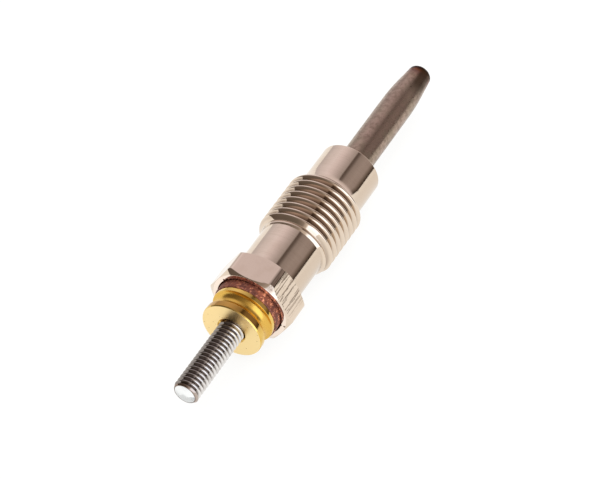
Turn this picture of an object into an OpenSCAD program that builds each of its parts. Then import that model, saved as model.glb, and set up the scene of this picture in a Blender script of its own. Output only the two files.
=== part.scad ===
// Diesel glow plug, lying on a flat of its hexagon and on its thread.
// Every piece is turned about one axis. Along that axis, z counts from the end of the
// terminal stud to the glowing tip, and lay_down() turns z into +X of the part's frame.

/* [Terminal stud] */
// Diameter of the terminal stud over its thread
stud_d = 4; // [3.4:0.1:4.6]
// Depth from the crest of the stud's thread to its pitch line
stud_thread_depth = 0.23; // [0.15:0.01:0.3]
// Length of stud that stands free in front of the nut
stud_free_l = 12.85; // [8:0.05:20]
// Chamfer on the free end of the stud
stud_chamfer = 0.3; // [0.2:0.05:0.8]
// Diameter of the thin tail of the stud that enters the glow tube
tail_d = 2.4; // [2:0.1:2.8]
// Length of the tail inside the glow tube
tail_l = 8; // [4:0.5:12]
// Length of the pin at the end of the tail, which carries the coil
pin_l = 1.5; // [0.5:0.1:3]
// Distance from the glow tube to the shoulder of the stud
shoulder_gap = 1.5; // [1.2:0.1:5]

/* [Round nut] */
// Length of the round nut
nut_l = 3.85; // [3.4:0.05:6]
// Diameter of the nut's front flange
nut_front_d = 9.6; // [8.6:0.1:10.6]
// Thickness of the front flange
nut_front_t = 1.1; // [0.9:0.05:1.8]
// Diameter of the nut's rear flange
nut_rear_d = 9.8; // [8.6:0.1:10.6]
// Thickness of the rear flange
nut_rear_t = 0.7; // [0.6:0.05:1.6]
// Depth of the round groove between the flanges
nut_groove = 0.9; // [0.4:0.01:1]
// Width of the bevel on the front face of the nut
nut_bevel_w = 0.1; // [0.05:0.05:0.5]
// Length of that bevel along the nut
nut_bevel_l = 0.2; // [0.1:0.05:0.8]
// Width of the countersink round the stud
countersink_w = 0.3; // [0.2:0.05:1]
// Depth of the countersink
countersink_depth = 0.45; // [0.1:0.05:0.9]

/* [Insulating washer] */
// How far the washer stands out of the body
washer_proud = 1.3; // [0.4:0.1:3]
// Room between the washer and the wall of its recess
washer_clear = 0.2; // [0.05:0.05:0.4]
// Length of the spigot that holds the seal down
spigot_l = 0.8; // [0.4:0.1:2]
// Room between the spigot and the pocket of the seal
spigot_clear = 0.1; // [0.05:0.05:0.3]

/* [Hexagon] */
// Width across the flats of the hexagon
hex_af = 12; // [11.4:0.1:14]
// Length of the hexagon
hex_l = 4.6; // [3:0.1:10]
// Depth to which each corner is turned off
hex_corner_cut = 0.15; // [0.02:0.01:0.6]
// Distance from the flats to the edge of the end faces
hex_face_step = 0.1; // [0.05:0.05:0.4]
// Angle of the chamfer on the corners
hex_chamfer_angle = 35; // [15:1:45]
// Width of the flat ring round the washer's recess
rim_w = 0.65; // [0.3:0.05:0.9]
// Depth of the washer's recess
recess_depth = 1; // [0.4:0.1:2]

/* [Body] */
// Diameter of the plain shank
shank_d = 10; // [9:0.1:11]
// Length of the plain shank
shank_l = 7.7; // [3:0.1:40]
// Major diameter of the thread in the cylinder head
thread_d = 12; // [11:0.1:14]
// Length of the thread with both of its tapered ends
thread_l = 10.95; // [6:0.05:25]
// Length of the tapered start of the thread, next to the shank
thread_lead_in = 1.1; // [0.5:0.1:2.5]
// Length of the tapered end of the thread, next to the nose
thread_run_out = 0.4; // [0.3:0.1:2]
// Diameter of the smooth nose
nose_d = 9.7; // [8.4:0.1:10.8]
// Length of the nose up to its sealing cone
nose_l = 7.35; // [3:0.05:20]
// Included angle of the sealing cone
seat_angle = 93; // [60:1:120]
// Width of the flat ring between the sealing cone and the glow tube
seat_land = 0.8; // [0.3:0.05:1.2]
// Length of body that grips the glow tube
grip_l = 12; // [6:0.5:16]
// Diameter of the pocket for the sealing ring
pocket_d = 7.2; // [6.4:0.1:8]

/* [Glow tube] */
// Diameter of the glow tube
tube_d = 5; // [4.4:0.1:5.6]
// Wall of the glow tube
tube_wall = 0.5; // [0.3:0.05:0.65]
// Thickness of its closed end
tip_wall = 1; // [0.6:0.1:2]
// Length from the edge of the nose to the tip
glow_l = 24.4; // [20:0.1:40]
// Length of the swaged taper
taper_l = 6.05; // [4:0.05:10]
// Diameter where the taper meets the domed tip
tip_d = 3.7; // [3:0.1:4.2]
// Height of the domed tip
tip_h = 0.95; // [0.5:0.05:1.4]
// How far the tube stands up into the bore of the body
tube_stand = 1; // [0.2:0.1:3]
// Length of the ring that closes the mouth of the tube
tube_seal_l = 1.6; // [0.8:0.1:3]

/* [Coils] */
// Diameter of the wire
wire_d = 0.4; // [0.2:0.05:0.5]
// Length of the control coil
control_l = 11; // [6:0.5:12]
// Pitch of the control coil, as near as whole turns allow
control_pitch = 1; // [0.7:0.05:1.5]
// Pitch of the heating coil, as near as whole turns allow
heating_pitch = 0.92; // [0.7:0.02:1.5]
// Least thickness of powder between the coil and the tube
coil_room = 0.12; // [0.06:0.02:0.3]
// Room between the coil and the pin of the stud
coil_clear = 0.05; // [0.04:0.01:0.1]

/* [Fits] */
// Radial room round the stud in the nut and the washer
stud_clear = 0.03; // [0.01:0.01:0.1]
// Radial room at the pressed seat of the glow tube
press_clear = 0.01; // [0.005:0.005:0.03]
// Radial room round the glow tube above its seat
bore_clear = 0.3; // [0.1:0.05:0.5]
// Room round each rubber ring
seal_clear = 0.02; // [0.01:0.01:0.05]

/* [Hidden] */
$fn = 96;

// How far a cut runs past the surface that it opens
over = 1;
// Straight steps in each turn of a coil, and sides of its wire
turn_steps = 12;
wire_sides = 6;

// Radii
stud_r = stud_d / 2;
core_r = stud_r - stud_thread_depth;
tail_r = tail_d / 2;
hole_r = core_r + stud_clear;
pocket_r = pocket_d / 2;
hex_face_r = hex_af / 2 - hex_face_step;
hex_corner_r = hex_af / 2 / cos(30) - hex_corner_cut;
recess_r = hex_face_r - rim_w;
tube_r = tube_d / 2;
tip_r = tip_d / 2;
seat_face_r = tube_r + seat_land;
seal_gap = pocket_r - core_r;

// Places along the axis, in the order of the pieces
z_nut = stud_free_l;
z_washer = z_nut + nut_l;
z_hex = z_washer + washer_proud;
z_recess = z_hex + recess_depth;
z_spigot = z_recess + spigot_l;
z_pocket = z_spigot + seal_gap;
z_shank = z_hex + hex_l;
z_thread = z_shank + shank_l;
z_nose = z_thread + thread_l;
z_seat = z_nose + nose_l;
z_face = z_seat + (nose_d / 2 - seat_face_r) / tan(seat_angle / 2);
z_grip = z_face - grip_l;
z_tube = z_grip - tube_stand;
z_shoulder = z_tube - shoulder_gap;
z_filling = z_tube + tube_seal_l;
z_tail = z_tube + tail_l;
z_tip = z_seat + glow_l;
z_dome = z_tip - tip_h;
z_taper = z_dome - taper_l;
axis_height = hex_af / 2;

// Space inside the glow tube: its wall keeps one thickness along the taper
taper_slope = (tube_r - tip_r) / taper_l;
cavity_r = tube_r - tube_wall;
z_floor = z_tip - tip_wall;
floor_r = cavity_r - taper_slope * (z_floor - z_taper);

// The two coils share one radius, set by the narrow end of the tube
wire_r = wire_d / 2;
coil_r = floor_r - coil_room - wire_r;
pin_r = coil_r - wire_r - coil_clear;
z_control = z_tail + wire_r;
z_joint = z_control + control_l;
heating_l = z_floor - wire_r - z_joint;
control_rings = coil_rings(z_control, control_l, control_pitch);
heating_rings = coil_rings(z_joint, heating_l, heating_pitch);

// Cross-sections of a coil of whole turns, each in a plane through the axis
function coil_rings(z, length, pitch) =
    let (steps = turn_steps * max(1, round(length / pitch)))
    [for (k = [0 : steps]) wire_ring(360 * k / turn_steps, z + length * k / steps)];

// One cross-section of the wire
function wire_ring(turn, z) = [for (j = [0 : wire_sides - 1])
    let (
        side = 360 * j / wire_sides,
        r = coil_r + wire_r * cos(side)
    )
    [r * cos(turn), r * sin(turn), z + wire_r * sin(side)]];

// Joins a list of wire sections to a closed solid
module wound_wire(rings) {
    last = len(rings) - 1;
    points = [for (ring = rings, p = ring) p];
    walls = [for (k = [0 : last - 1], j = [0 : wire_sides - 1])
        let (
            a = k * wire_sides + j,
            b = k * wire_sides + (j + 1) % wire_sides
        )
        [a, b, b + wire_sides, a + wire_sides]];
    first_cap = [for (j = [wire_sides - 1 : -1 : 0]) j];
    last_cap = [for (j = [0 : wire_sides - 1]) last * wire_sides + j];
    polyhedron(points, concat(walls, [first_cap, last_cap]), convexity = 10);
}

// Lays the turned axis along +X, with the middle of the plug over the origin
module lay_down() {
    translate([-z_tip / 2, 0, axis_height]) rotate([0, 90, 0]) children();
}

// Hexagon with turned corners and a chamfer at each end
module hexagon() {
    chamfer_l = (hex_corner_r - hex_face_r) * tan(hex_chamfer_angle);
    intersection() {
        translate([0, 0, z_hex]) linear_extrude(hex_l)
            rotate(30) circle(r = hex_af / 2 / cos(30), $fn = 6);
        rotate_extrude() polygon([
            [0, z_hex],
            [hex_face_r, z_hex],
            [hex_corner_r, z_hex + chamfer_l],
            [hex_corner_r, z_shank - chamfer_l],
            [hex_face_r, z_shank],
            [0, z_shank]
        ]);
    }
}

// Shank, thread, nose and sealing cone
module turned_body() {
    rotate_extrude() polygon([
        [0, z_shank],
        [shank_d / 2, z_shank],
        [shank_d / 2, z_thread],
        [thread_d / 2, z_thread + thread_lead_in],
        [thread_d / 2, z_nose - thread_run_out],
        [nose_d / 2, z_nose],
        [nose_d / 2, z_seat],
        [seat_face_r, z_face],
        [0, z_face]
    ]);
}

// Recess for the washer, pocket for the seal, bore for the stud and seat of the glow tube
module stepped_bore() {
    bore_r = tube_r + bore_clear;
    grip_r = tube_r + press_clear;
    rotate_extrude() polygon([
        [0, z_hex - over],
        [recess_r, z_hex - over],
        [recess_r, z_recess],
        [pocket_r, z_recess],
        [pocket_r, z_pocket],
        [bore_r, z_pocket],
        [bore_r, z_grip],
        [grip_r, z_grip],
        [grip_r, z_face + over],
        [0, z_face + over]
    ]);
}

module body() {
    color([0.78, 0.71, 0.68]) lay_down() difference() {
        union() {
            hexagon();
            turned_body();
        }
        stepped_bore();
    }
}

// Half section of the stud, from its free end to the pin that carries the coil
module stud_section() {
    polygon([
        [0, 0],
        [stud_r - stud_chamfer, 0],
        [stud_r, stud_chamfer],
        [stud_r, z_nut],
        [core_r, z_nut],
        [core_r, z_shoulder],
        [tail_r, z_shoulder + core_r - tail_r],
        [tail_r, z_tail],
        [pin_r, z_tail],
        [pin_r, z_tail + pin_l],
        [0, z_tail + pin_l]
    ]);
}

module terminal_stud() {
    color([0.55, 0.54, 0.53]) lay_down() rotate_extrude() stud_section();
}

// Two flanges with a round groove between them, and a countersink round the stud
module terminal_nut() {
    front_r = nut_front_d / 2;
    rear_r = nut_rear_d / 2;
    half_w = (nut_l - nut_front_t - nut_rear_t) / 2;
    groove_r = (half_w * half_w + nut_groove * nut_groove) / (2 * nut_groove);
    groove_floor_r = (front_r + rear_r) / 2 - nut_groove;
    z_groove = z_nut + nut_front_t + half_w;
    color([0.80, 0.62, 0.28]) lay_down() rotate_extrude() difference() {
        polygon([
            [hole_r, z_nut + countersink_depth],
            [stud_r + countersink_w, z_nut],
            [front_r - nut_bevel_w, z_nut],
            [front_r, z_nut + nut_bevel_l],
            [front_r, z_groove],
            [rear_r, z_groove],
            [rear_r, z_washer],
            [hole_r, z_washer]
        ]);
        translate([groove_floor_r + groove_r, z_groove]) circle(r = groove_r);
    }
}

// Fibre washer in its recess, with a spigot that centres the stud
module insulating_washer() {
    washer_r = recess_r - washer_clear;
    spigot_r = pocket_r - spigot_clear;
    color([0.45, 0.20, 0.13]) lay_down() rotate_extrude() polygon([
        [hole_r, z_washer],
        [washer_r, z_washer],
        [washer_r, z_recess],
        [spigot_r, z_recess],
        [spigot_r, z_spigot],
        [hole_r, z_spigot]
    ]);
}

// Rubber ring that fills the pocket between the stud and the body
module body_seal() {
    color([0.12, 0.12, 0.12]) lay_down() rotate_extrude()
        translate([core_r + seal_gap / 2, z_spigot + seal_gap / 2])
            circle(r = seal_gap / 2 - seal_clear);
}

// Ring that closes the mouth of the glow tube
module tube_seal() {
    color([0.35, 0.20, 0.16]) lay_down() rotate_extrude() polygon([
        [tail_r + seal_clear, z_tube],
        [cavity_r - seal_clear, z_tube],
        [cavity_r - seal_clear, z_filling],
        [tail_r + seal_clear, z_filling]
    ]);
}

// Half section of the space inside the glow tube, from a given place to its closed end
module cavity_section(z_from) {
    polygon([
        [0, z_from],
        [cavity_r, z_from],
        [cavity_r, z_taper],
        [floor_r, z_floor],
        [0, z_floor]
    ]);
}

// Half section of the glow tube's outside: straight, swaged taper and domed tip
module tube_section() {
    dome_r = (tip_r * tip_r + tip_h * tip_h) / (2 * tip_h);
    polygon([
        [0, z_tube],
        [tube_r, z_tube],
        [tube_r, z_taper],
        [tip_r, z_dome],
        [0, z_dome]
    ]);
    intersection() {
        translate([0, z_tip - dome_r]) circle(r = dome_r);
        translate([0, z_dome]) square([tube_d, tip_h + over]);
    }
}

module heater_sheath() {
    color([0.50, 0.44, 0.40]) lay_down() rotate_extrude() difference() {
        tube_section();
        cavity_section(z_tube - over);
    }
}

module heating_coil() {
    color([0.60, 0.58, 0.55]) lay_down() wound_wire(heating_rings);
}

module control_coil() {
    color([0.66, 0.60, 0.52]) lay_down() wound_wire(control_rings);
}

// Pressed powder round the coils and the end of the stud, with one channel for both coils
module magnesia_filling() {
    later_rings = [for (k = [1 : len(heating_rings) - 1]) heating_rings[k]];
    color([0.90, 0.89, 0.85]) lay_down() difference() {
        rotate_extrude() difference() {
            cavity_section(z_filling);
            stud_section();
        }
        wound_wire(concat(control_rings, later_rings));
    }
}

body();
terminal_stud();
terminal_nut();
insulating_washer();
body_seal();
tube_seal();
heater_sheath();
heating_coil();
control_coil();
magnesia_filling();
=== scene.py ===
# %% [markdown]
# # A diesel glow plug
#
# A glow plug is a small electric heater that screws into a diesel engine's cylinder head. This lesson
# dresses the CAD model of one: it gives the threads their helices, rounds the edges as a lathe and a
# plating bath leave them, and builds the finishes. The frame is the CAD model and stays as it is.

# %% Load the frame
import math

import bmesh
import bpy
from mathutils import Matrix, Vector, noise


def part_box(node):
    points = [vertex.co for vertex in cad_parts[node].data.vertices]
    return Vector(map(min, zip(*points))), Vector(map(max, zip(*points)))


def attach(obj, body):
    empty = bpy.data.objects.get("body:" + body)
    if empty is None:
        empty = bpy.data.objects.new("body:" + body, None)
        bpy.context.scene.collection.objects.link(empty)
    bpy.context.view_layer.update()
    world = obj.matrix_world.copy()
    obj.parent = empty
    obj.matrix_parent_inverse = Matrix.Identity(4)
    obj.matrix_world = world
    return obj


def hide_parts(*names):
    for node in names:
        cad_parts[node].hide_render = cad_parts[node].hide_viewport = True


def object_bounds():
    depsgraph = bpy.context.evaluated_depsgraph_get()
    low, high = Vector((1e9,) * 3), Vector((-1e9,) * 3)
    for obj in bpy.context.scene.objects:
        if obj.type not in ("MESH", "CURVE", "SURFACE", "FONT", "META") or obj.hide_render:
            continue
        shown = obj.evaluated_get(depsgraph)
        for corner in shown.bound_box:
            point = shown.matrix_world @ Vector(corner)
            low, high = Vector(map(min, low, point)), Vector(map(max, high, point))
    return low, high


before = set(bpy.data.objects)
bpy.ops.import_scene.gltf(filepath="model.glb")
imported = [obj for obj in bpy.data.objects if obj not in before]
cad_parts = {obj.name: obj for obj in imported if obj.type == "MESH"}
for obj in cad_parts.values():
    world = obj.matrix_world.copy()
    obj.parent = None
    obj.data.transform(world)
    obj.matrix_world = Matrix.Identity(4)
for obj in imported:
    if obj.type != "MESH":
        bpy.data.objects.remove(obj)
cad_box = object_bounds()
print("CAD nodes:", sorted(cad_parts))

# %% [markdown]
# ## Places along the plug
#
# Every piece is turned about one axis, which lies along X. Drawings of turned parts give distances from
# one end, so sizes here are in millimetres from the free end of the terminal stud, and `along` turns
# such a distance into the frame's X in metres. The ends that the frame knows are read from it.

# %% Axis and distances
MM = 0.001
stud_low, stud_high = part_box("terminal_stud")
body_low, body_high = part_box("body")
nut_low, nut_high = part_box("terminal_nut")
tube_low, tube_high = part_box("heater_sheath")
washer_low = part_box("insulating_washer")[0]
AXIS_Z = (stud_low[2] + stud_high[2]) / 2


def along(distance):
    """The frame's X, in metres, of a distance in mm from the stud's free end."""
    return stud_low[0] + distance * MM


def from_end(x):
    """The distance in mm from the stud's free end of an X in the frame."""
    return (x - stud_low[0]) / MM


NUT = from_end(nut_low[0])
WASHER = from_end(washer_low[0])
HEX = from_end(body_low[0])
FACE = from_end(body_high[0])
TUBE = from_end(tube_low[0])
TIP = from_end(tube_high[0])
print(f"nut {NUT:.2f}, washer {WASHER:.2f}, hexagon {HEX:.2f}, nose face {FACE:.2f}, tip {TIP:.2f} mm")

# %% [markdown]
# ## One way to make a turned piece
#
# A lathe piece is a meridian, the outline of half its section, carried round the axis. Blender's Screw
# modifier does that for one fixed outline. Here the outline may change with the angle, because a hexagon
# and a thread do, so a function gives it for each angle, and the rings are joined to quads. Points that
# fall together, as at the axis or where a thread runs out, are merged afterwards.

# %% Rounded outlines
ROUND_STEPS = 4
EDGE_SHARE = 0.49


def soften(corners):
    """An open outline of (distance, radius) points, with each corner rounded by its third value.

    A rounding takes at most EDGE_SHARE of the edge on either side of it.
    """
    points = []
    for i, (x, r, rounding) in enumerate(corners):
        corner = Vector((x, r))
        if rounding == 0:
            points.append(corner)
            continue
        back = Vector(corners[i - 1][:2]) - corner
        ahead = Vector(corners[i + 1][:2]) - corner
        reach = rounding / math.tan(back.angle(ahead) / 2)
        start = corner + back.normalized() * min(reach, EDGE_SHARE * back.length)
        end = corner + ahead.normalized() * min(reach, EDGE_SHARE * ahead.length)
        for k in range(ROUND_STEPS + 1):
            t = k / ROUND_STEPS
            points.append(start * (1 - t) ** 2 + corner * 2 * t * (1 - t) + end * t * t)
    return points


# %% Turned meshes
MERGE = 2e-7


def place(distance, radius, angle):
    """A point in the frame. The angle counts from straight up towards -Y, so it turns about +X."""
    r = radius * MM
    return (along(distance), -r * math.sin(angle), AXIS_Z + r * math.cos(angle))


def turned_piece(name, angles, outline, closed):
    """Joins the outlines at all angles to one smooth mesh object."""
    mesh = bmesh.new()
    rings = []
    for angle in angles:
        rings.append([mesh.verts.new(place(x, r, angle)) for x, r in outline(angle)])
    count = len(rings[0])
    for ring, following in zip(rings, rings[1:]):
        for k in range(count if closed else count - 1):
            n = (k + 1) % count
            mesh.faces.new((ring[k], ring[n], following[n], following[k]))
    bmesh.ops.remove_doubles(mesh, verts=mesh.verts, dist=MERGE)
    bmesh.ops.recalc_face_normals(mesh, faces=mesh.faces)
    for face in mesh.faces:
        face.smooth = True
    data = bpy.data.meshes.new(name)
    mesh.to_mesh(data)
    mesh.free()
    piece = bpy.data.objects.new(name, data)
    bpy.context.scene.collection.objects.link(piece)
    piece.modifiers.new("Even shading", "WEIGHTED_NORMAL")
    print(f"{name}: {len(data.vertices)} points, {len(data.polygons)} faces")
    return piece


def even_angles(columns):
    """Angles of columns in even steps, with the first one again at the end."""
    return [2 * math.pi * k / columns for k in range(columns + 1)]


def stand_in_for(piece, node):
    """The piece takes a CAD node's place under the root body, and the CAD node is hidden."""
    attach(piece, "root")
    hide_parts(node)


# %% [markdown]
# ## Threads
#
# A metric thread is a 60 degree ridge wound at its pitch, with a little rounding on its crest and in its
# root. A bump texture could fake it, but the ridges show in the outline, so they are real. Each row of
# points follows the helix instead of a plain ring, which keeps the crests clean with few points. At both
# ends the rows are held inside a limit, the cone that the tool leaves. Rows past its ends fall together
# on its last point, where they merge.

# %% Thread rows
HALF_ANGLE = math.radians(30)
DEPTH_PER_PITCH = 0.6134
CREST_FLAT_PER_PITCH = 0.22
ROOT_ROUNDING_PER_PITCH = 0.10
CREST_ROUNDING_PER_PITCH = 0.18


def ridge(pitch):
    """One pitch of the thread as (step along, depth under the crest), from crest to crest."""
    depth = DEPTH_PER_PITCH * pitch
    crest = CREST_FLAT_PER_PITCH * pitch / 2
    foot = crest + depth * math.tan(HALF_ANGLE)
    top = CREST_ROUNDING_PER_PITCH * pitch
    root = ROOT_ROUNDING_PER_PITCH * pitch
    outline = soften([
        (-crest, 0, 0),
        (crest, 0, top),
        (foot, depth, root),
        (pitch - foot, depth, root),
        (pitch - crest, 0, top),
        (pitch, 0, 0),
    ])
    return outline[1:-1]


def limit_at(limit, x):
    """The radius of a limit, a list of (distance, radius), at one distance."""
    for (x0, r0), (x1, r1) in zip(limit, limit[1:]):
        if x <= x1:
            return r0 + (r1 - r0) * (x - x0) / (x1 - x0)
    return limit[-1][1]


def thread_rows(angle, pitch, crest_r, limit, phase):
    """The outline of a right-hand thread at one angle, from the start to the end of its limit."""
    first, last = limit[0][0], limit[-1][0]
    turns = math.ceil((last - first) / pitch) + 2
    rows = []
    for turn in range(-2, turns):
        shift = first + (turn + phase + angle / (2 * math.pi)) * pitch
        for step, depth in ridge(pitch):
            x = shift + step
            if x <= first:
                rows.append(limit[0])
            elif x >= last:
                rows.append(limit[-1])
            else:
                rows.append((x, min(crest_r - depth, limit_at(limit, x))))
    return rows


# %% [markdown]
# ## The plated body
#
# The body is one turned bar: a hexagon for the spanner, a plain shank, an M12 thread, a smooth nose and
# the cone that seals in the cylinder head. The hexagon's chamfer is a cone cut into a prism, so its edge
# rises and falls round the plug. Here each column finds where cone and prism meet at its own angle, which
# puts the points on that curve, where a Boolean would leave long thin faces.

# %% Hexagon and shank
HEX_FLATS = (body_high[2] - body_low[2]) / MM
HEX_CORNERS = (body_high[1] - body_low[1]) / MM
HEX_L = 4.6
FACE_INSET = 0.10
HEX_FACE_R = HEX_FLATS / 2 - FACE_INSET
HEX_CHAMFER = math.radians(35)
CORNER_BLEND = 0.02
RECESS_R = 5.25
RECESS_DEPTH = 1.0
SHANK_R = 5.0
SHANK_L = 7.7
RECESS = HEX + RECESS_DEPTH
SHANK = HEX + HEX_L
THREAD = SHANK + SHANK_L


def hexagon_radius(angle):
    """Radius of the hexagon's side at an angle: the flat, or the turned corner where that is less."""
    sixth = math.pi / 3
    off_flat = (angle + sixth / 2) % sixth - sixth / 2
    flat = HEX_FLATS / 2 / math.cos(off_flat)
    corner = HEX_CORNERS / 2
    return -CORNER_BLEND * math.log(math.exp(-flat / CORNER_BLEND) + math.exp(-corner / CORNER_BLEND))


def hexagon_and_shank(angle):
    """From the washer's recess over the hexagon and along the shank, to where the thread starts."""
    side = hexagon_radius(angle)
    chamfer = (side - HEX_FACE_R) * math.tan(HEX_CHAMFER)
    return soften([
        (RECESS, RECESS_R, 0),
        (HEX, RECESS_R, 0.06),
        (HEX, HEX_FACE_R, 0.05),
        (HEX + chamfer, side, 0.05),
        (SHANK - chamfer, side, 0.05),
        (SHANK, HEX_FACE_R, 0.05),
        (SHANK, SHANK_R, 0.10),
        (THREAD, SHANK_R, 0),
    ])


print(f"hexagon {HEX_FLATS:.2f} mm across flats, shank from {SHANK:.2f} to {THREAD:.2f} mm")

# %% Thread of the body
THREAD_R = 6.0
THREAD_L = 10.95
THREAD_PITCH = 1.25
THREAD_PHASE = 0.0
LEAD_IN = 1.1
RUN_OUT = 0.4
NOSE_R = 4.85
FLARE = 0.24
NOSE = THREAD + THREAD_L


def body_thread(angle):
    """The thread, from its lead-in at the shank to its run-out at the nose."""
    return thread_rows(angle, THREAD_PITCH, THREAD_R, [
        (THREAD, SHANK_R),
        (THREAD + LEAD_IN, THREAD_R),
        (NOSE - RUN_OUT, THREAD_R),
        (NOSE, NOSE_R + FLARE),
    ], THREAD_PHASE)


print(f"thread of {THREAD_L / THREAD_PITCH:.1f} turns, nose from {NOSE:.2f} mm")

# %% Nose, sealing cone and bore
NOSE_L = 7.35
FLARE_L = 2.0
FLARE_STEPS = 10
SEAT_R = 3.3
GRIP_R = 2.51
GRIP_L = 12.0
BORE_R = 2.8
POCKET_R = 3.6
POCKET_DEPTH = 2.63
SEAT = NOSE + NOSE_L
GRIP = FACE - GRIP_L
POCKET = RECESS + POCKET_DEPTH


def nose_flare():
    """The fillet that leads from the thread's end face down to the smooth nose."""
    points = []
    for k in range(FLARE_STEPS + 1):
        t = k / FLARE_STEPS
        points.append((NOSE + FLARE_L * t, NOSE_R + FLARE * (1 - t) ** 2))
    return points


def nose_and_bore():
    """Along the nose to the sealing cone, then back through the tube's grip, the bore and the pocket."""
    return soften([
        (NOSE + FLARE_L, NOSE_R, 0),
        (SEAT, NOSE_R, 0.15),
        (FACE, SEAT_R, 0.06),
        (FACE, GRIP_R, 0.04),
        (GRIP, GRIP_R, 0),
        (GRIP, BORE_R, 0),
        (POCKET, BORE_R, 0),
        (POCKET, POCKET_R, 0),
        (RECESS, POCKET_R, 0),
    ])


print(f"sealing cone from {SEAT:.2f} to {FACE:.2f} mm, tube gripped from {GRIP:.2f} mm")

# %% Columns of the body
FLAT_COLUMNS = 40
CORNER_COLUMNS = 4
CORNER_START = math.acos(HEX_FLATS / HEX_CORNERS)


def hexagon_angles():
    """Angles of the columns: even steps on each flat and finer ones round each corner."""
    sixth = math.pi / 3
    corner = sixth - 2 * CORNER_START
    angles = [0.0]
    for side in range(6):
        middle = side * sixth
        for k in range(1, FLAT_COLUMNS // 2 + 1):
            angles.append(middle + CORNER_START * 2 * k / FLAT_COLUMNS)
        for k in range(1, CORNER_COLUMNS + 1):
            angles.append(middle + CORNER_START + corner * k / CORNER_COLUMNS)
        for k in range(1, FLAT_COLUMNS // 2 + 1):
            angles.append(middle + sixth - CORNER_START + CORNER_START * 2 * k / FLAT_COLUMNS)
    return angles


# %% Body
def body_outline(angle):
    """The body's whole outline at one angle."""
    return hexagon_and_shank(angle) + body_thread(angle) + nose_flare() + nose_and_bore()[1:]


body = turned_piece("plated_body", hexagon_angles(), body_outline, closed=True)
stand_in_for(body, "body")

# %% [markdown]
# ## The terminal stud
#
# The stud is an M4 screw without a head. Its thread is rolled, so it runs to the very end, where a
# chamfer takes the first ridge down. Behind the nut's face it is plain and hidden. A cylinder with a
# separate coil on it could stand for the thread, but the rows that made the body's thread make this one
# too, with the chamfer as their limit, and leave one clean skin.

# %% Stud
STUD_R = 2.0
STUD_PITCH = 0.7
STUD_CHAMFER = 0.3
STUD_CORE_R = 1.77
STUD_PHASE = 0.2
THREAD_PAST_NUT = 0.48
THREAD_END = NUT + THREAD_PAST_NUT
TAPER_BACK = 0.26
TAIL_R = 1.2
PIN_R = 0.785
SHOULDER_GAP = 1.5
TAIL_L = 8.0
PIN_L = 1.5
STUD_COLUMNS = 72


def stud_outline(angle):
    """The stud at one angle, from its end face to the pin that carries the coil."""
    shoulder = TUBE - SHOULDER_GAP
    thread = thread_rows(angle, STUD_PITCH, STUD_R, [
        (0, STUD_R - STUD_CHAMFER),
        (STUD_CHAMFER, STUD_R),
        (THREAD_END - TAPER_BACK, STUD_R),
        (THREAD_END, STUD_CORE_R),
    ], STUD_PHASE)
    rest = soften([
        (THREAD_END, STUD_CORE_R, 0),
        (shoulder, STUD_CORE_R, 0.1),
        (shoulder + STUD_CORE_R - TAIL_R, TAIL_R, 0.1),
        (TUBE + TAIL_L, TAIL_R, 0.05),
        (TUBE + TAIL_L, PIN_R, 0),
        (TUBE + TAIL_L + PIN_L, PIN_R, 0.05),
        (TUBE + TAIL_L + PIN_L, 0, 0),
    ])
    return [(0, 0)] + thread + rest


stud = turned_piece("threaded_stud", even_angles(STUD_COLUMNS), stud_outline, closed=False)
stand_in_for(stud, "terminal_stud")

# %% [markdown]
# ## The round nut
#
# The brass nut has two flanges with a round groove between them. The groove is an arc of a circle, so
# its points come from the circle's own formula. A Bevel modifier could break the sharp edges, but here
# the outline has its roundings before it is carried round, which keeps the faces even.

# %% Nut
NUT_L = from_end(nut_high[0]) - NUT
FRONT_R = 4.8
FRONT_T = 1.1
REAR_R = (nut_high[2] - nut_low[2]) / MM / 2
REAR_T = 0.7
GROOVE_DEPTH = 0.9
GROOVE_STEPS = 20
BEVEL_W = 0.1
BEVEL_L = 0.2
HOLE_ROOM = 0.03
HOLE_R = STUD_CORE_R + HOLE_ROOM
COUNTERSINK_W = 0.3
COUNTERSINK_DEPTH = 0.45
NUT_COLUMNS = 128


def groove_points():
    """Points of the groove, from the front flange to the rear one."""
    half = (NUT_L - FRONT_T - REAR_T) / 2
    mean_r = (FRONT_R + REAR_R) / 2
    radius = (half * half + GROOVE_DEPTH * GROOVE_DEPTH) / (2 * GROOVE_DEPTH)
    centre = Vector((NUT + FRONT_T + half, mean_r - GROOVE_DEPTH + radius))
    sweep = math.acos(max(-1, min(1, (radius - GROOVE_DEPTH) / radius)))
    points = []
    for k in range(GROOVE_STEPS + 1):
        turn = sweep * (2 * k / GROOVE_STEPS - 1)
        points.append(centre + radius * Vector((math.sin(turn), -math.cos(turn))))
    return points


def nut_outline(angle):
    """The nut, which is the same at every angle."""
    groove = groove_points()
    front = soften([
        (NUT + NUT_L, HOLE_R, 0),
        (NUT + COUNTERSINK_DEPTH, HOLE_R, 0.05),
        (NUT, STUD_R + COUNTERSINK_W, 0.05),
        (NUT, FRONT_R - BEVEL_W, 0.04),
        (NUT + BEVEL_L, FRONT_R, 0.05),
        (groove[0].x, FRONT_R, 0.05),
        (groove[1].x, groove[1].y, 0),
    ])
    rear = soften([
        (groove[-2].x, groove[-2].y, 0),
        (groove[-1].x, REAR_R, 0.05),
        (NUT + NUT_L, REAR_R, 0.06),
        (NUT + NUT_L, HOLE_R, 0),
    ])
    return front[:-1] + groove[1:-1] + rear[1:-1]


nut = turned_piece("round_nut", even_angles(NUT_COLUMNS), nut_outline, closed=True)
stand_in_for(nut, "terminal_nut")

# %% [markdown]
# ## The insulating washer
#
# Vulcanised fibre is pressed paper. A punched edge of it is rough, with torn layers that catch the light,
# so the points of the outer wall are pushed in and out by noise. A Displace modifier could do that, but
# would also bend the flat sides. The noise reads each point's place, so every run gives the same edge.

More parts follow.
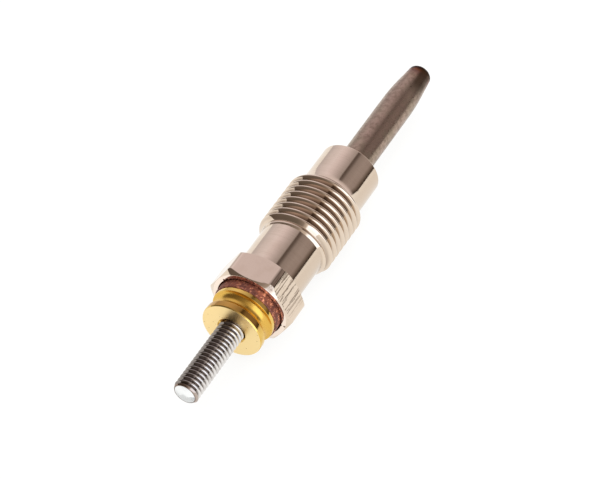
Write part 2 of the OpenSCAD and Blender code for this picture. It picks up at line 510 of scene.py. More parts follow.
# %% Washer
WASHER_ROOM = 0.2
WASHER_R = RECESS_R - WASHER_ROOM
SPIGOT_ROOM = 0.1
SPIGOT_R = POCKET_R - SPIGOT_ROOM
SPIGOT_L = 0.8
WASHER_ROWS = 16
WASHER_COLUMNS = 240
WASHER_EDGE = 0.05
RAGGED = 0.055
RAGGED_SCALE = 2.6
LAYER_STRETCH = 1.6
NOISE_ROUGHNESS, NOISE_STEP, NOISE_OCTAVES = 0.8, 2.0, 3


def ragged(x, angle):
    """How far the fibre edge stands in or out at one place, in mm."""
    spot = Vector((x * LAYER_STRETCH, math.cos(angle) * WASHER_R, math.sin(angle) * WASHER_R))
    return RAGGED * noise.fractal(spot * RAGGED_SCALE, NOISE_ROUGHNESS, NOISE_STEP, NOISE_OCTAVES)


def washer_outline(angle):
    """The washer at one angle: its torn edge, then the spigot and the hole."""
    wall = []
    for k in range(WASHER_ROWS + 1):
        x = WASHER + (RECESS - WASHER) * k / WASHER_ROWS
        edge = WASHER_EDGE if k in (0, WASHER_ROWS) else 0
        wall.append((x, WASHER_R - edge + ragged(x, angle)))
    spigot = [
        (RECESS, SPIGOT_R),
        (RECESS + SPIGOT_L, SPIGOT_R),
        (RECESS + SPIGOT_L, HOLE_R),
        (WASHER, HOLE_R),
    ]
    return wall + spigot


washer = turned_piece("fibre_washer", even_angles(WASHER_COLUMNS), washer_outline, closed=True)
stand_in_for(washer, "insulating_washer")

# %% [markdown]
# ## The glow tube
#
# The tube is swaged: hammered thinner round its powder filling, which leaves a soft start to the taper
# and a blunt, rounded tip. A subdivided surface could soften both, but would not keep their sizes. A very
# large rounding at the start of the taper and an arc over the tip do.

# %% Tube
TUBE_R = (tube_high[2] - tube_low[2]) / MM / 2
TUBE_WALL = 0.5
TIP_WALL = 1.0
TIP_R = 1.85
TIP_H = 0.95
TAPER_L = 6.05
TAPER_ROUNDING = 40.0
TIP_ROUNDING = 0.5
DOME_STEPS = 10
TUBE_COLUMNS = 96
DOME = TIP - TIP_H
TAPER = DOME - TAPER_L


def dome_points():
    """The domed tip, from the taper's end to just before the axis."""
    radius = (TIP_R * TIP_R + TIP_H * TIP_H) / (2 * TIP_H)
    sweep = math.asin(TIP_R / radius)
    points = []
    for k in range(DOME_STEPS):
        turn = sweep * (1 - k / DOME_STEPS)
        points.append((TIP - radius * (1 - math.cos(turn)), radius * math.sin(turn)))
    return points


def tube_outline(angle):
    """The tube, which is the same at every angle: its outside, its tip and its cavity."""
    slope = (TUBE_R - TIP_R) / TAPER_L
    floor = TIP - TIP_WALL
    cavity_r = TUBE_R - TUBE_WALL
    dome = dome_points()
    outside = soften([
        (TUBE, cavity_r, 0),
        (TUBE, TUBE_R, 0.1),
        (TAPER, TUBE_R, TAPER_ROUNDING),
        (DOME, TIP_R, TIP_ROUNDING),
        (dome[2][0], dome[2][1], 0),
    ])
    inside = [
        (floor, 0),
        (floor, cavity_r - slope * (floor - TAPER)),
        (TAPER, cavity_r),
    ]
    return outside + dome[3:] + [(TIP, 0)] + inside


tube = turned_piece("glow_tube", even_angles(TUBE_COLUMNS), tube_outline, closed=True)
stand_in_for(tube, "heater_sheath")

# %% [markdown]
# ## Helpers for materials
#
# A node is added with its settings and its inputs in one call: an input is either a value or another
# node's output, which is then linked. Most finishes here are a base colour with other colours laid over
# it through masks, so the other helpers make mixes and masks.

# %% Node helpers
MIX_A, MIX_B, MIX_RESULT = 6, 7, 2


def add(tree, kind, inputs=None, **settings):
    """Adds a node. Inputs are named or numbered, and hold a value or a socket to link."""
    made = tree.nodes.new(kind)
    for name, value in settings.items():
        setattr(made, name, value)
    for key, value in (inputs or {}).items():
        if isinstance(value, bpy.types.NodeSocket):
            tree.links.new(value, made.inputs[key])
        else:
            made.inputs[key].default_value = value
    return made


def blend(tree, factor, a, b, mode="MIX"):
    """A mix of two colours. The Mix node has sockets for each kind of data, so numbers name them."""
    inputs = {0: factor, MIX_A: a, MIX_B: b}
    mix = add(tree, "ShaderNodeMix", inputs, data_type="RGBA", blend_type=mode)
    return mix.outputs[MIX_RESULT]


def ramp(tree, value, low, high, to_low=0.0, to_high=1.0):
    """A smooth step of a value from one range to another."""
    inputs = {"Value": value, "From Min": low, "From Max": high, "To Min": to_low, "To Max": to_high}
    return add(tree, "ShaderNodeMapRange", inputs, interpolation_type="SMOOTHSTEP").outputs[0]


def times(tree, a, b):
    """The product of two values."""
    return add(tree, "ShaderNodeMath", {0: a, 1: b}, operation="MULTIPLY").outputs[0]


def times_plus(tree, a, b, c):
    """The product of two values, with a third added."""
    return add(tree, "ShaderNodeMath", {0: a, 1: b, 2: c}, operation="MULTIPLY_ADD").outputs[0]


# %% Colours and bumps
def rgb(r, g, b):
    """An opaque colour, as Blender's sockets take it."""
    return (r, g, b, 1.0)


def colour_bands(tree, value, bands):
    """Colours that follow a value from 0 to 1. Each band is a position and its colour."""
    made = add(tree, "ShaderNodeValToRGB", {0: value})
    stops = made.color_ramp.elements
    stops[0].color = bands[0][1]
    stops[1].color = bands[-1][1]
    for position, shade in bands[1:-1]:
        stops.new(position).color = shade
    return made.outputs[0]


def roughen(tree, shader, height, strength, distance=0.02 * MM):
    """Bends the shader's normal by a bump. A height of 1 stands for the distance, in metres."""
    bump = add(tree, "ShaderNodeBump", {"Strength": strength, "Distance": distance, "Height": height})
    tree.links.new(bump.outputs[0], shader.inputs["Normal"])


# %% Places as masks
def object_place(tree):
    """The shaded place in the frame."""
    return add(tree, "ShaderNodeTexCoord").outputs["Object"]


def object_x(tree):
    """The shaded place's X in the frame, which runs along the plug."""
    return add(tree, "ShaderNodeSeparateXYZ", {0: object_place(tree)}).outputs["X"]


def off_axis(tree):
    """The vector from the plug's axis straight out to the shaded place."""
    to_axis = {0: object_place(tree), 1: (0, 0, AXIS_Z)}
    centred = add(tree, "ShaderNodeVectorMath", to_axis, operation="SUBTRACT").outputs[0]
    return add(tree, "ShaderNodeVectorMath", {0: centred, 1: (0, 1, 1)}, operation="MULTIPLY").outputs[0]


def zone(tree, start, end, fade):
    """A mask for the length between two distances from the stud's end, in mm."""
    x = object_x(tree)
    rise = ramp(tree, x, along(start - fade), along(start + fade))
    fall = ramp(tree, x, along(end - fade), along(end + fade), 1.0, 0.0)
    return times(tree, rise, fall)


# %% Groups and materials
def new_group(name, inputs, outputs):
    """An empty node group with float inputs and outputs, its tree and its two end nodes."""
    tree = bpy.data.node_groups.new(name, "ShaderNodeTree")
    for socket in inputs:
        tree.interface.new_socket(name=socket, in_out="INPUT", socket_type="NodeSocketFloat")
    for socket in outputs:
        tree.interface.new_socket(name=socket, in_out="OUTPUT", socket_type="NodeSocketFloat")
    return tree, tree.nodes.new("NodeGroupInput"), tree.nodes.new("NodeGroupOutput")


def use_group(tree, group, **inputs):
    """Places a group in a material with its own values."""
    made = tree.nodes.new("ShaderNodeGroup")
    made.node_tree = group
    for name, value in inputs.items():
        made.inputs[name].default_value = value
    return made.outputs[0]


def new_material(name):
    """A material with an empty Principled BSDF, and its tree and shader."""
    material = bpy.data.materials.new(name)
    material.use_nodes = True
    return material, material.node_tree, material.node_tree.nodes["Principled BSDF"]


def dress(piece, material):
    """Gives a piece its finish."""
    piece.data.materials.append(material)
    print(f"{piece.name} wears {material.name}: {len(material.node_tree.nodes)} nodes")


# %% [markdown]
# ## Effects that several finishes share
#
# The marks of a cutting tool run round a turned piece: close lines along the axis that hardly change
# round it. Stretching one noise does that, and stretched the other way it gives the scratches of a
# spanner. Stains are slow, soft noise, and pits are round spots in the cells of a Voronoi pattern, each of
# its own size. A mask that grows towards the axis finds the roots of a thread, which are painted darker,
# and painted shade on flanks. Wear, tarnish, painted shade and a painted darker side keep to one side of
# the plug, and the angle round the axis finds it. All of these could be painted by hand, but as node
# groups they are built once and serve every finish.

# %% Streaks
streaks, start, end = new_group("Streaks", ["Along", "Around"], ["Lines"])
scale = add(streaks, "ShaderNodeCombineXYZ", {
    "X": start.outputs["Along"], "Y": start.outputs["Around"], "Z": start.outputs["Around"]})
stretched = add(streaks, "ShaderNodeVectorMath", {
    0: object_place(streaks), 1: scale.outputs[0]}, operation="MULTIPLY")
lines = add(streaks, "ShaderNodeTexNoise", {
    "Vector": stretched.outputs[0], "Scale": 1.0, "Detail": 4.0, "Roughness": 0.65})
streaks.links.new(lines.outputs[0], end.inputs["Lines"])

# %% Stains
stains, start, end = new_group("Stains", ["Scale", "From", "To"], ["Mask"])
cloud = add(stains, "ShaderNodeTexNoise", {
    "Vector": object_place(stains), "Scale": start.outputs["Scale"], "Detail": 5.0, "Roughness": 0.6})
mask = ramp(stains, cloud.outputs[0], start.outputs["From"], start.outputs["To"])
stains.links.new(mask, end.inputs["Mask"])

# %% Pits
pits, start, end = new_group("Pits", ["Scale", "Size"], ["Mask"])
cells = add(pits, "ShaderNodeTexVoronoi", {
    "Vector": object_place(pits), "Scale": start.outputs["Scale"], "Randomness": 1.0})
chance = add(pits, "ShaderNodeSeparateColor", {0: cells.outputs["Color"]}).outputs[0]
size = times(pits, chance, start.outputs["Size"])
inside = add(pits, "ShaderNodeMath", {0: cells.outputs["Distance"], 1: size}, operation="LESS_THAN")
pits.links.new(inside.outputs[0], end.inputs["Mask"])

# %% Nearer the axis
nearer_axis, start, end = new_group("Nearer the axis", ["Root", "Crest"], ["Mask"])
radius = add(nearer_axis, "ShaderNodeVectorMath", {0: off_axis(nearer_axis)}, operation="LENGTH")
mask = ramp(nearer_axis, radius.outputs["Value"], start.outputs["Root"], start.outputs["Crest"], 1.0, 0.0)
nearer_axis.links.new(mask, end.inputs["Mask"])

# %% Sides of the plug
side_of_plug, start, end = new_group("Side of the plug", ["Across", "Up"], ["Facing"])
outward = add(side_of_plug, "ShaderNodeVectorMath", {0: off_axis(side_of_plug)}, operation="NORMALIZE")
way = add(side_of_plug, "ShaderNodeCombineXYZ", {"Y": start.outputs["Across"], "Z": start.outputs["Up"]})
facing = add(side_of_plug, "ShaderNodeVectorMath", {
    0: outward.outputs[0], 1: way.outputs[0]}, operation="DOT_PRODUCT")
side_of_plug.links.new(facing.outputs["Value"], end.inputs["Facing"])


def sector(tree, middle, core, edge):
    """A mask for one side of the plug, by degrees from its middle: full at the core, gone at the edge."""
    turn = math.radians(middle)
    towards = use_group(tree, side_of_plug, Across=-math.sin(turn), Up=math.cos(turn))
    return ramp(tree, towards, math.cos(math.radians(edge)), math.cos(math.radians(core)))


print("node groups:", [group.name for group in bpy.data.node_groups])

# %% [markdown]
# ## Nickel plating
#
# The body is steel with a warm, satin nickel plating. Its metal colour comes from what a white floor
# looks like in it. Fine turned marks give the satin on the plain lengths. Wear from a spanner on the
# hexagon, stains and pits give the age. The thread is painted darker towards its roots and in a line at
# the nose, painted shade lies on its flanks on one side, on one corner of the hexagon's chamfer and on the
# low side of the plain lengths, and the hexagon's end face is painted pale, a painted reflection of the
# white floor.

# %% Colours of the plating
NICKEL = rgb(0.74, 0.615, 0.495)
NICKEL_DULL = rgb(0.70, 0.575, 0.455)
# The line colour also paints the shade on the low side of the plain lengths.
NICKEL_LINE_AND_SHADE = rgb(0.64, 0.52, 0.41)
# A painted highlight: the paler colour of the hexagon's end face.
NICKEL_FACE_HIGHLIGHT = rgb(0.93, 0.79, 0.68)
# The worn colour also paints shade at one corner of the chamfer.
NICKEL_WORN_AND_SHADE = rgb(0.36, 0.28, 0.22)
# The dirt colour also paints shade, and the thread darker towards its roots.
DIRT_AND_SHADE = rgb(0.20, 0.13, 0.09)


# %% Wear and painted shade on the hexagon
def flat_scratches(tree):
    """Marks of a spanner along one flat of the hexagon."""
    grain = use_group(tree, streaks, Along=200.0, Around=3300.0)
    side = times(tree, sector(tree, 60, 29, 32), sector(tree, 40, 20, 50))
    marks = times(tree, ramp(tree, grain, 0.50, 0.60), side)
    return times(tree, marks, zone(tree, HEX + 0.25, SHANK - 0.1, 0.1))


def hexagon_wear_and_shade(tree, colour, scratch):
    """Lays a rubbed corner, painted shade at one corner of its chamfer, the scratches and the face's pits
    over a colour.
    """
    rubbed = times(tree, sector(tree, 30, 2, 5), zone(tree, HEX + 0.1, SHANK, 0.1))
    colour = blend(tree, times(tree, rubbed, 0.6), colour, NICKEL_WORN_AND_SHADE)
    # Painted shade: the chamfer next to the corner at 28 degrees is darkened.
    chamfer_shade = times(tree, sector(tree, 28, 5, 11), zone(tree, HEX + 0.03, HEX + 0.5, 0.05))
    colour = blend(tree, times(tree, chamfer_shade, 0.7), colour, NICKEL_WORN_AND_SHADE)
    colour = blend(tree, times(tree, scratch, 0.7), colour, DIRT_AND_SHADE)
    pit = use_group(tree, pits, Scale=1300.0, Size=0.30)
    return blend(tree, times(tree, pit, zone(tree, HEX - 1, HEX + 0.25, 0.02)), colour, DIRT_AND_SHADE)


# %% Darker roots and painted shade in the body's thread
def darken_thread(tree, colour):
    """Paints the thread darker towards its roots, with painted shade on the flanks of one side and a
    painted dark line in the corner behind it.
    """
    length = zone(tree, THREAD + 0.9, NOSE - 0.2, 0.3)
    # Painted darker towards the thread's roots.
    root = use_group(tree, nearer_axis, Root=(THREAD_R - 0.75) * MM, Crest=(THREAD_R - 0.15) * MM)
    colour = blend(tree, times(tree, times(tree, root, length), 0.6), colour, DIRT_AND_SHADE)
    # Painted shade on the flanks of one side, up to the crests.
    flank = use_group(tree, nearer_axis, Root=(THREAD_R - 0.42) * MM, Crest=(THREAD_R - 0.02) * MM)
    shaded_side = times(tree, sector(tree, -75, 30, 50), length)
    colour = blend(tree, times(tree, flank, times(tree, shaded_side, 0.75)), colour, DIRT_AND_SHADE)
    # A painted dark line of shade in the corner where the thread meets the nose.
    corner = zone(tree, NOSE - 0.1, NOSE + 0.12, 0.06)
    return blend(tree, times(tree, corner, 0.7), colour, DIRT_AND_SHADE)


# %% Plated steel
def plated_steel():
    """Satin nickel with turned marks, wear on the hexagon, painted shade on one chamfer corner, the
    thread's flanks and the low side, the thread darker towards its roots, and a painted highlight on the
    hexagon's end face.
    """
    material, tree, shader = new_material("plated_steel")
    shank = zone(tree, SHANK, THREAD + 0.2, 0.05)
    nose = zone(tree, NOSE, FACE + 1.0, 0.05)
    plain = add(tree, "ShaderNodeMath", {0: shank, 1: nose}, operation="ADD").outputs[0]
    lines = times(tree, use_group(tree, streaks, Along=4200.0, Around=110.0), plain)
    stain = use_group(tree, stains, Scale=420.0, From=0.45, To=0.75)
    scratch = flat_scratches(tree)
    colour = blend(tree, stain, NICKEL, NICKEL_DULL)
    colour = blend(tree, ramp(tree, lines, 0.45, 0.75, 0.0, 0.5), colour, NICKEL_LINE_AND_SHADE)
    # Painted shade: the low side of the plain lengths is darker.
    colour = blend(tree, times(tree, sector(tree, 100, 30, 48), plain), colour, NICKEL_LINE_AND_SHADE)
    # Painted highlight: the hexagon's end face is paler, a painted reflection of the white floor.
    colour = blend(tree, zone(tree, HEX - 1, HEX + 0.03, 0.02), colour, NICKEL_FACE_HIGHLIGHT)
    colour = darken_thread(tree, hexagon_wear_and_shade(tree, colour, scratch))
    tree.links.new(colour, shader.inputs["Base Color"])
    shader.inputs["Metallic"].default_value = 1.0
    tree.links.new(ramp(tree, lines, 0.3, 0.7, 0.05, 0.13), shader.inputs["Roughness"])
    shader.inputs["Anisotropic"].default_value = 0.5
    shader.inputs["Anisotropic Rotation"].default_value = 0.25
    round_axis = add(tree, "ShaderNodeTangent", direction_type="RADIAL", axis="X")
    tree.links.new(round_axis.outputs[0], shader.inputs["Tangent"])
    roughen(tree, shader, times_plus(tree, scratch, -2.0, lines), 0.12)
    return material


dress(body, plated_steel())

# %% [markdown]
# ## The other metals
#
# The stud is grey bare steel, painted darker in its roots and on one side, with its cut end painted
# bright as a painted reflection of the white floor. The nut is turned brass with a matt face, painted pale
# as a painted reflection of the floor, and a front flange with tarnish and a painted dark reflection on
# top. The tube is a heat-proof alloy that has been glowing: brown and blotchy, tinted violet, orange and
# nearly black towards its tip, with painted shade on one side near the tip. Image textures could be
# wrapped round these pieces, but masks and noise stay sharp at any distance and have no seam.

# %% Stud steel
STEEL = rgb(0.78, 0.755, 0.73)
STEEL_STAINED = rgb(0.59, 0.555, 0.53)
STEEL_ROOT = rgb(0.12, 0.09, 0.08)
# Paints one side of the stud darker.
STUD_DARK_SIDE = rgb(0.16, 0.13, 0.11)
CHAMFER_BROWN = rgb(0.30, 0.19, 0.13)
END_RIM = rgb(0.22, 0.16, 0.13)
# A painted highlight: the paler colour of the stud's end face.
END_HIGHLIGHT = rgb(0.94, 0.955, 0.95)


def stud_steel():
    """Stained steel, painted darker in its roots and on one side, with its end painted bright as a painted
    reflection of the white floor.
    """
    material, tree, shader = new_material("stud_steel")
    stain = use_group(tree, stains, Scale=900.0, From=0.4, To=0.7)
    colour = blend(tree, stain, STEEL, STEEL_STAINED)
    # Painted darker towards the thread's roots.
    root = use_group(tree, nearer_axis, Root=(STUD_R - 0.42) * MM, Crest=(STUD_R - 0.08) * MM)
    colour = blend(tree, times(tree, root, 0.7), colour, STEEL_ROOT)
    # Painted darker on one side of the threaded length.
    dark_side = times(tree, sector(tree, -40, 40, 58), zone(tree, 0.01, NUT + 1, 0.01))
    colour = blend(tree, times(tree, dark_side, 0.8), colour, STUD_DARK_SIDE)
    chamfer = zone(tree, 0.01, STUD_CHAMFER + 0.05, 0.01)
    colour = blend(tree, times(tree, chamfer, 0.6), colour, CHAMFER_BROWN)
    rim_r = STUD_R - STUD_CHAMFER
    inner = use_group(tree, nearer_axis, Root=(rim_r - 0.16) * MM, Crest=(rim_r - 0.04) * MM)
    # The end face is painted pale, a painted reflection of the white floor, with a dark rim.
    end_face = zone(tree, -1.0, 0.012, 0.004)
    colour = blend(tree, end_face, colour, blend(tree, inner, END_RIM, END_HIGHLIGHT))
    tree.links.new(colour, shader.inputs["Base Color"])
    shader.inputs["Metallic"].default_value = 1.0
    polish = ramp(tree, stain, 0.0, 1.0, 0.06, 0.12)
    tree.links.new(times_plus(tree, end_face, 0.3, polish), shader.inputs["Roughness"])
    return material


dress(stud, stud_steel())

# %% Brass
BRASS = rgb(0.80, 0.545, 0.145)
BRASS_STAINED = rgb(0.72, 0.46, 0.10)
BRASS_GROOVE = rgb(0.74, 0.45, 0.09)
# Tarnish, with a painted dark reflection, on the flange's top.
BRASS_TARNISH_AND_SHADE = rgb(0.46, 0.235, 0.055)
# A painted highlight: the paler colour of the nut's face.
BRASS_FACE_HIGHLIGHT = rgb(0.95, 0.725, 0.35)
BRASS_PIT = rgb(0.28, 0.16, 0.04)


def brass():
    """Turned brass with a satin groove, a flange with tarnish and a painted dark reflection on top, and a
    matt face painted pale as a painted reflection of the floor.
    """
    material, tree, shader = new_material("brass")
    lines = use_group(tree, streaks, Along=5000.0, Around=300.0)
    stain = use_group(tree, stains, Scale=500.0, From=0.42, To=0.72)
    face = zone(tree, NUT - 1.0, NUT + 0.02, 0.01)
    groove = zone(tree, NUT + FRONT_T, NUT + NUT_L - REAR_T, 0.06)
    flange = zone(tree, NUT + BEVEL_L, NUT + FRONT_T - 0.05, 0.03)
    # Tarnish and a painted dark reflection on the top of the flange.
    tarnish_and_shade = times(tree, flange, sector(tree, 0, 45, 75))
    colour = blend(tree, stain, BRASS, BRASS_STAINED)
    colour = blend(tree, groove, colour, BRASS_GROOVE)
    colour = blend(tree, times(tree, tarnish_and_shade, 0.85), colour, BRASS_TARNISH_AND_SHADE)
    # The face is painted pale, a painted reflection of the white floor.
    colour = blend(tree, face, colour, BRASS_FACE_HIGHLIGHT)
    pit = use_group(tree, pits, Scale=1900.0, Size=0.20)
    colour = blend(tree, times(tree, pit, 0.5), colour, BRASS_PIT)
    tree.links.new(colour, shader.inputs["Base Color"])
    shader.inputs["Metallic"].default_value = 1.0
    turned = ramp(tree, lines, 0.3, 0.7, 0.09, 0.16)
    satin = times_plus(tree, groove, 0.14, turned)
    tree.links.new(times_plus(tree, face, 0.22, satin), shader.inputs["Roughness"])
    roughen(tree, shader, lines, 0.12)
    return material


dress(nut, brass())

# %% Heat tint
HEAT_L = 5.0
HEAT_SPREAD = 0.7 * MM
HEAT_TINTS = [
    (0.0, rgb(1.0, 1.0, 1.0)),
    (0.40, rgb(0.92, 0.84, 0.80)),
    (0.57, rgb(0.60, 0.42, 0.42)),
    (0.67, rgb(0.58, 0.27, 0.13)),
    (0.75, rgb(0.12, 0.05, 0.03)),
    (1.0, rgb(0.03, 0.02, 0.02)),
]


def heat_tint(tree, cloud):
    """The colours that heat leaves on the last few millimetres, with an uneven border."""
    place_along = times_plus(tree, cloud, HEAT_SPREAD, object_x(tree))
    heat = add(tree, "ShaderNodeMapRange", {
        "Value": place_along, "From Min": along(TIP - HEAT_L), "From Max": along(TIP)}).outputs[0]
    return colour_bands(tree, heat, HEAT_TINTS)


# %% Heater alloy
ALLOY = rgb(0.40, 0.29, 0.23)
ALLOY_STAINED = rgb(0.295, 0.212, 0.162)
ALLOY_OLIVE = rgb(0.335, 0.28, 0.195)
ALLOY_PIT = rgb(0.09, 0.045, 0.035)
# Painted shade on one side near the tip.
ALLOY_SHADE = rgb(0.055, 0.033, 0.015)


def heater_alloy():
    """Blotchy brown alloy with heat tints at its tip and painted shade on one side near it."""
    material, tree, shader = new_material("heater_alloy")
    stain = use_group(tree, stains, Scale=1700.0, From=0.36, To=0.66)
    cloud = use_group(tree, stains, Scale=300.0, From=0.4, To=0.7)
    pit = use_group(tree, pits, Scale=450.0, Size=0.08)
    colour = blend(tree, stain, ALLOY, ALLOY_STAINED)
    colour = blend(tree, times(tree, cloud, 0.55), colour, ALLOY_OLIVE)
    colour = blend(tree, times(tree, pit, 0.8), colour, ALLOY_PIT)
    colour = blend(tree, 1.0, colour, heat_tint(tree, cloud), "MULTIPLY")
    # Painted shade on one side near the tip.
    shade_near_tip = times(tree, zone(tree, TIP - 6.0, TIP + 3.0, 2.0), sector(tree, 48, 18, 42))
    colour = blend(tree, times(tree, shade_near_tip, 0.85), colour, ALLOY_SHADE)
    tree.links.new(colour, shader.inputs["Base Color"])
    shader.inputs["Metallic"].default_value = 1.0
    tree.links.new(ramp(tree, stain, 0.0, 1.0, 0.27, 0.40), shader.inputs["Roughness"])
    return material


dress(tube, heater_alloy())

# %% [markdown]
# ## Fibre, rubber and powder
#
# The washer's fibre is dull and red-brown, with pale torn flecks on its edge. The pieces inside are
# never seen on the whole plug, but a section or an exploded view shows them, so they have finishes too.
# Those need no more than two tones and a fine grain, so one function makes them all.

# %% Fibre
FIBRE = rgb(0.20, 0.05, 0.022)
FIBRE_SHADE = rgb(0.075, 0.018, 0.010)
FIBRE_FLECK = rgb(0.60, 0.22, 0.11)
# Painted shade on one side of the washer.
FIBRE_PAINTED_SHADE = rgb(0.05, 0.012, 0.008)


def fibre():
    """Red-brown fibre with pale flecks, and painted shade on one side."""
    material, tree, shader = new_material("fibre")
    fleck = use_group(tree, stains, Scale=1900.0, From=0.52, To=0.68)
    shade = use_group(tree, stains, Scale=800.0, From=0.35, To=0.65)
    colour = blend(tree, shade, FIBRE, FIBRE_SHADE)
    colour = blend(tree, fleck, colour, FIBRE_FLECK)
    # Painted shade on one side of the washer.
    colour = blend(tree, times(tree, sector(tree, -25, 20, 50), 0.6), colour, FIBRE_PAINTED_SHADE)
    tree.links.new(colour, shader.inputs["Base Color"])
    shader.inputs["Roughness"].default_value = 0.55
    roughen(tree, shader, fleck, 0.5, 0.04 * MM)
    return material


dress(washer, fibre())


# %% Hidden pieces
def plain_finish(name, light, dark, metallic, roughness, grain):
    """A two-tone finish for a hidden piece: light and dark colour, and the size of its grain."""
    material, tree, shader = new_material(name)
    stain = use_group(tree, stains, Scale=grain, From=0.35, To=0.65)
    tree.links.new(blend(tree, stain, light, dark), shader.inputs["Base Color"])
    shader.inputs["Metallic"].default_value = metallic
    shader.inputs["Roughness"].default_value = roughness
    roughen(tree, shader, stain, 0.3)
    return material


# Each row: the finish, its light and dark colours, metallic, roughness and grain.
HIDDEN_FINISHES = {
    "body_seal": ("black_rubber", rgb(0.025, 0.025, 0.025), rgb(0.012, 0.012, 0.012), 0.0, 0.6, 1500.0),
    "tube_seal": ("brown_rubber", rgb(0.12, 0.045, 0.03), rgb(0.07, 0.03, 0.02), 0.0, 0.6, 1500.0),
    "heating_coil": ("heating_wire", rgb(0.42, 0.39, 0.36), rgb(0.30, 0.28, 0.26), 1.0, 0.35, 2500.0),
    "control_coil": ("control_wire", rgb(0.50, 0.43, 0.35), rgb(0.38, 0.32, 0.26), 1.0, 0.35, 2500.0),
    "magnesia_filling": ("magnesia", rgb(0.80, 0.79, 0.75), rgb(0.70, 0.69, 0.64), 0.0, 0.9, 3000.0),
}
for node_name, finish in HIDDEN_FINISHES.items():
    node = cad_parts[node_name]
    node.data.materials.clear()
    dress(node, plain_finish(*finish))

# %% [markdown]
# ## Floor
#
# A white sheet. It is plain white for the camera and in reflections, and a part of its own shading is
# kept, so that the plug still has a soft shadow. More light could whiten it too, but would wash out the
# plug.

# %% Floor
FLOOR_SIZE = 0.24
SHADOW_SHARE = 0.12
SHEET = rgb(0.92, 0.92, 0.91)
SHEET_GLOW = rgb(1.0, 1.0, 0.99)


def white_sheet():
    """A matt sheet that the camera and reflections see as white."""
    material, tree, shader = new_material("white_sheet")
    shader.inputs["Base Color"].default_value = SHEET
    shader.inputs["Roughness"].default_value = 0.9
    path = add(tree, "ShaderNodeLightPath").outputs
    seen = add(tree, "ShaderNodeMath", {
        0: path["Is Camera Ray"], 1: path["Is Glossy Ray"]}, operation="ADD", use_clamp=True)
    seen = add(tree, "ShaderNodeMath", {
        0: seen.outputs[0], 1: path["Is Transmission Ray"]}, operation="ADD", use_clamp=True)
    share = times(tree, seen.outputs[0], 1 - SHADOW_SHARE)
    glow = add(tree, "ShaderNodeEmission", {"Color": SHEET_GLOW, "Strength": 1.0})
    mix = add(tree, "ShaderNodeMixShader", {0: share, 1: shader.outputs[0], 2: glow.outputs[0]})
    tree.links.new(mix.outputs[0], tree.nodes["Material Output"].inputs["Surface"])
    return material


bpy.ops.mesh.primitive_plane_add(size=FLOOR_SIZE, location=(0, 0, cad_box[0][2]))
floor = bpy.context.object
floor.name = "floor"
dress(floor, white_sheet())

# %% [markdown]
# ## Light
#
# Metal shows its surroundings, so the light is a studio tent that the metal can mirror: two pale panels
# that run along the plug with a gap between them, a dark roof over the stud's end, where the camera
# looks in, and a white panel low at the side. The angle round the plug's axis picks the panel. Lamps
# could stand for the panels, but a world that is painted by direction has no edges to hide.

# %% Panels of the tent
TENT_AHEAD = [
    (-90, rgb(0.66, 0.62, 0.65)),
    (-70, rgb(0.80, 0.74, 0.78)),
    (-45, rgb(0.91, 0.84, 0.90)),
    (-30, rgb(0.85, 0.76, 0.81)),
    (0, rgb(0.52, 0.46, 0.47)),
    (9, rgb(0.44, 0.39, 0.39)),
    (13, rgb(0.12, 0.09, 0.08)),
    (19, rgb(0.15, 0.12, 0.11)),
    (28, rgb(0.33, 0.28, 0.27)),
    (50, rgb(0.41, 0.35, 0.34)),
    (72, rgb(0.38, 0.32, 0.31)),
    (82, rgb(0.20, 0.16, 0.14)),
    (90, rgb(0.07, 0.05, 0.04)),
]
TENT_BEHIND = [
    (-90, rgb(0.15, 0.12, 0.10)),
    (-40, rgb(0.19, 0.16, 0.135)),
    (0, rgb(0.34, 0.285, 0.25)),
    (15, rgb(0.62, 0.54, 0.49)),
    (30, rgb(0.75, 0.67, 0.61)),
    (44, rgb(1.75, 1.88, 2.1)),
    (90, rgb(1.75, 1.88, 2.1)),
]
TENT_END = rgb(0.85, 0.77, 0.80)
SEAM_FROM, SEAM_TO = -0.15, 0.25
END_FROM, END_TO = 0.76, 0.86
WHITE = rgb(1.0, 1.0, 1.0)


def panels(tree, turn, degrees_and_colours):
    """Colours of the tent by the angle round the plug, from the +Y side over the top to the -Y side."""
    return colour_bands(tree, turn, [((degrees + 90) / 180, c) for degrees, c in degrees_and_colours])


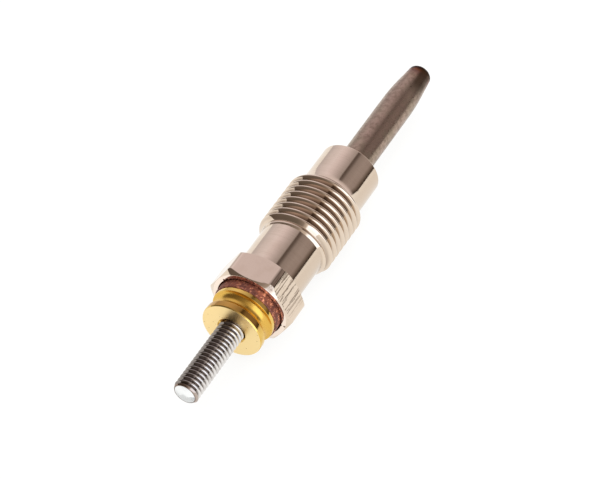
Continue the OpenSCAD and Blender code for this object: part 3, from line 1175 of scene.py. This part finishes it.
# %% Studio tent
def studio_tent():
    """A world coloured by direction: white for the camera, the tent for all else."""
    world = bpy.data.worlds.new("studio_tent")
    world.use_nodes = True
    tree = world.node_tree
    tree.nodes.clear()
    way = add(tree, "ShaderNodeTexCoord").outputs["Generated"]
    parts = add(tree, "ShaderNodeSeparateXYZ", {0: way}).outputs
    side = times(tree, parts["Y"], -1.0)
    roll = add(tree, "ShaderNodeMath", {0: side, 1: parts["Z"]}, operation="ARCTAN2")
    turn = add(tree, "ShaderNodeMapRange", {
        "Value": roll.outputs[0], "From Min": -math.pi / 2, "From Max": math.pi / 2}).outputs[0]
    seam = ramp(tree, parts["X"], SEAM_FROM, SEAM_TO)
    tent = blend(tree, seam, panels(tree, turn, TENT_BEHIND), panels(tree, turn, TENT_AHEAD))
    tent = blend(tree, ramp(tree, parts["X"], END_FROM, END_TO), tent, TENT_END)
    path = add(tree, "ShaderNodeLightPath")
    seen = blend(tree, path.outputs["Is Camera Ray"], tent, WHITE)
    glow = add(tree, "ShaderNodeBackground", {"Color": seen, "Strength": 1.0})
    add(tree, "ShaderNodeOutputWorld", {"Surface": glow.outputs[0]})
    return world


bpy.context.scene.world = studio_tent()
print("world:", bpy.context.scene.world.name)

# %% Soft lamp
LAMP_HEIGHT = 0.9
LAMP_SIZE = 1.4
LAMP_POWER = 18.0
lamp_data = bpy.data.lights.new("soft_lamp", "AREA")
lamp_data.size = LAMP_SIZE
lamp_data.energy = LAMP_POWER
lamp = bpy.data.objects.new("soft_lamp", lamp_data)
bpy.context.scene.collection.objects.link(lamp)
lamp.location = (0, 0, LAMP_HEIGHT)
lamp.visible_glossy = False
print(f"soft lamp: {LAMP_POWER} W at {LAMP_HEIGHT} m")

# %% [markdown]
# ## Camera
#
# The camera stands where the photograph was taken from. Its place and direction come from a fit to the
# edges and both thread pitches, in the frame's own millimetres. It could be set by eye, but a fit brings
# most edges to within a pixel or two, and gives the lens as well.

# %% Camera
CAMERA_PLACE = Vector((-191.3, -103.2, 246.0)) * MM
CAMERA_RIGHT = Vector((0.48143, -0.87653, -0.00017))
CAMERA_UP = Vector((0.65437, 0.35923, 0.66537))
LENS = 131.7
SENSOR = 36.0
CLIP_START = 0.01
camera_data = bpy.data.cameras.new("camera")
camera_data.lens = LENS
camera_data.sensor_width = SENSOR
camera_data.sensor_fit = "HORIZONTAL"
camera_data.clip_start = CLIP_START
camera = bpy.data.objects.new("camera", camera_data)
bpy.context.scene.collection.objects.link(camera)
right = CAMERA_RIGHT.normalized()
back = right.cross(CAMERA_UP).normalized()
up = back.cross(right)
turn = Matrix((right, up, back)).transposed()
camera.matrix_world = Matrix.Translation(CAMERA_PLACE) @ turn.to_4x4()
bpy.context.scene.camera = camera
print("camera at", [round(value, 4) for value in camera.location])

# %% [markdown]
# ## Finish
#
# The Standard view shows colours about as they are written, where a filmic one would grey the white
# sheet.

# %% Finish
bpy.context.scene.view_settings.view_transform = "Standard"
